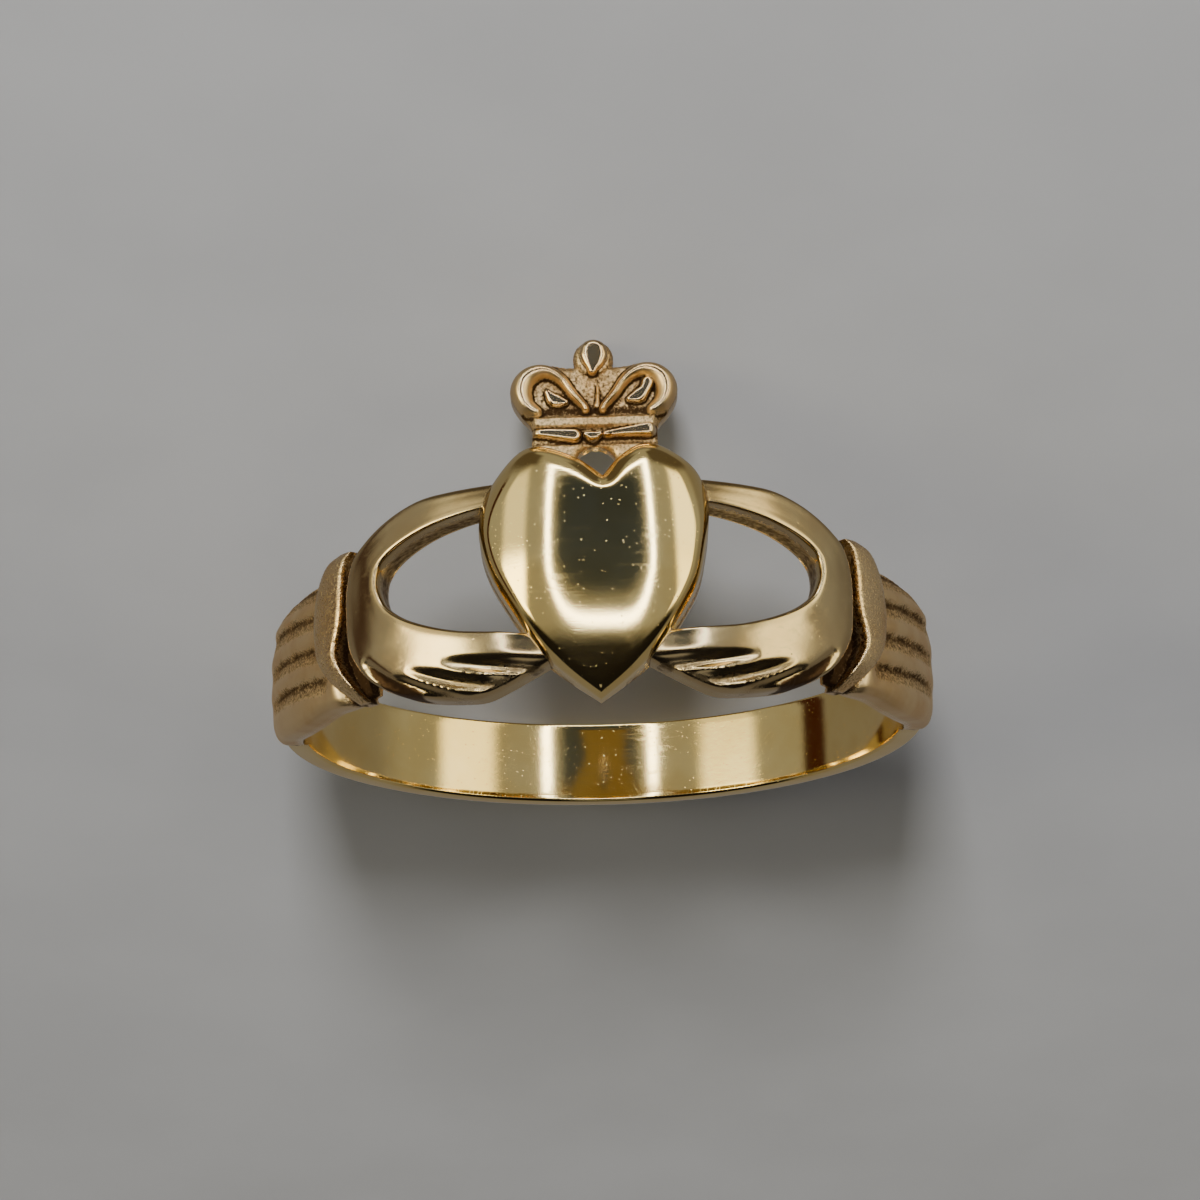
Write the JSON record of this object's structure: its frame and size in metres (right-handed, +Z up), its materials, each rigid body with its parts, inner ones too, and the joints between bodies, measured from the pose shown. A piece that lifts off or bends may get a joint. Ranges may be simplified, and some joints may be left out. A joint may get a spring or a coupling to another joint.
{
  "type": "claddagh ring",
  "caption": "Gold finger ring with a polished heart held by open-worked hands under a small crown, on a plain domed band.",
  "frame": {"origin": "centre of the ring's footprint on the ground it lies on", "axes": "+Z up; the heart's face looks to -Y and upwards; +X runs across the heart from one hand to the other"},
  "size_m": [0.0194, 0.0207, 0.01],
  "materials": {
    "gold": "polished and lightly worn gold"
  },
  "bodies": {
    "root": {"ring": "gold"}
  },
  "joints": []
}
